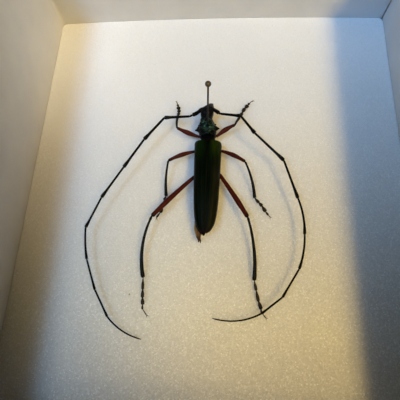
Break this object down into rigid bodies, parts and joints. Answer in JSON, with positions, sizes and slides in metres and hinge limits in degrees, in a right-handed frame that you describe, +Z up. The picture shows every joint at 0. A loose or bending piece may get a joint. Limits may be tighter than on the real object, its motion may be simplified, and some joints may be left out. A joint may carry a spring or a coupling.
{
  "type": "pinned longhorn beetle in open specimen box",
  "caption": "Longhorn beetle with spread legs and long antennae, held by an insect pin in the white foam floor of an open pale card box.",
  "frame": {"origin": "centre of the card tray's underside", "axes": "+X to the beetle's right, +Y from its tail to its head, +Z up out of the open box"},
  "size_m": [0.1212, 0.1442, 0.0543],
  "materials": {
    "tray_card": "uncoated pale card",
    "liner_card": "uncoated pale card",
    "foam": "white closed-cell foam",
    "pin_wire": "bronzed drawn wire",
    "pin_ball": "smooth brown ball",
    "head_black": "dull black insect shell",
    "jaw_brown": "brown insect shell",
    "collar_teal": "wrinkled blue-green black insect shell",
    "trunk_black": "black insect shell",
    "wing_case_green": "fine-grained dark metallic green insect shell",
    "wing_amber": "dry folded amber membrane",
    "thigh_red": "polished red-brown insect shell",
    "shank_black": "black insect shell",
    "foot_brown": "brown-black insect shell with hair",
    "antenna_black": "black insect shell"
  },
  "bodies": {
    "root": {"case_tray": "tray_card", "wall_liner": "liner_card", "foam_pad": "foam", "pin_shaft": "pin_wire", "pin_head": "pin_ball", "head": "head_black", "mandible_left": "jaw_brown", "mandible_right": "jaw_brown", "pronotum": "collar_teal", "pterothorax": "trunk_black", "abdomen": "trunk_black", "elytron_left": "wing_case_green", "elytron_right": "wing_case_green", "hind_wing_left": "wing_amber", "hind_wing_right": "wing_amber", "femur_front_left": "thigh_red", "tibia_front_left": "shank_black", "tarsus_front_left": "foot_brown", "femur_front_right": "thigh_red", "tibia_front_right": "shank_black", "tarsus_front_right": "foot_brown", "femur_middle_left": "thigh_red", "tibia_middle_left": "shank_black", "tarsus_middle_left": "foot_brown", "femur_middle_right": "thigh_red", "tibia_middle_right": "shank_black", "tarsus_middle_right": "foot_brown", "femur_hind_left": "thigh_red", "tibia_hind_left": "shank_black", "tarsus_hind_left": "foot_brown", "femur_hind_right": "thigh_red", "tibia_hind_right": "shank_black", "tarsus_hind_right": "foot_brown", "antenna_left_01": "antenna_black", "antenna_left_02": "antenna_black", "antenna_left_03": "antenna_black", "antenna_left_04": "antenna_black", "antenna_left_05": "antenna_black", "antenna_left_06": "antenna_black", "antenna_left_07": "antenna_black", "antenna_left_08": "antenna_black", "antenna_left_09": "antenna_black", "antenna_left_10": "antenna_black", "antenna_left_11": "antenna_black", "antenna_right_01": "antenna_black", "antenna_right_02": "antenna_black", "antenna_right_03": "antenna_black", "antenna_right_04": "antenna_black", "antenna_right_05": "antenna_black", "antenna_right_06": "antenna_black", "antenna_right_07": "antenna_black", "antenna_right_08": "antenna_black", "antenna_right_09": "antenna_black", "antenna_right_10": "antenna_black", "antenna_right_11": "antenna_black"}
  },
  "joints": []
}
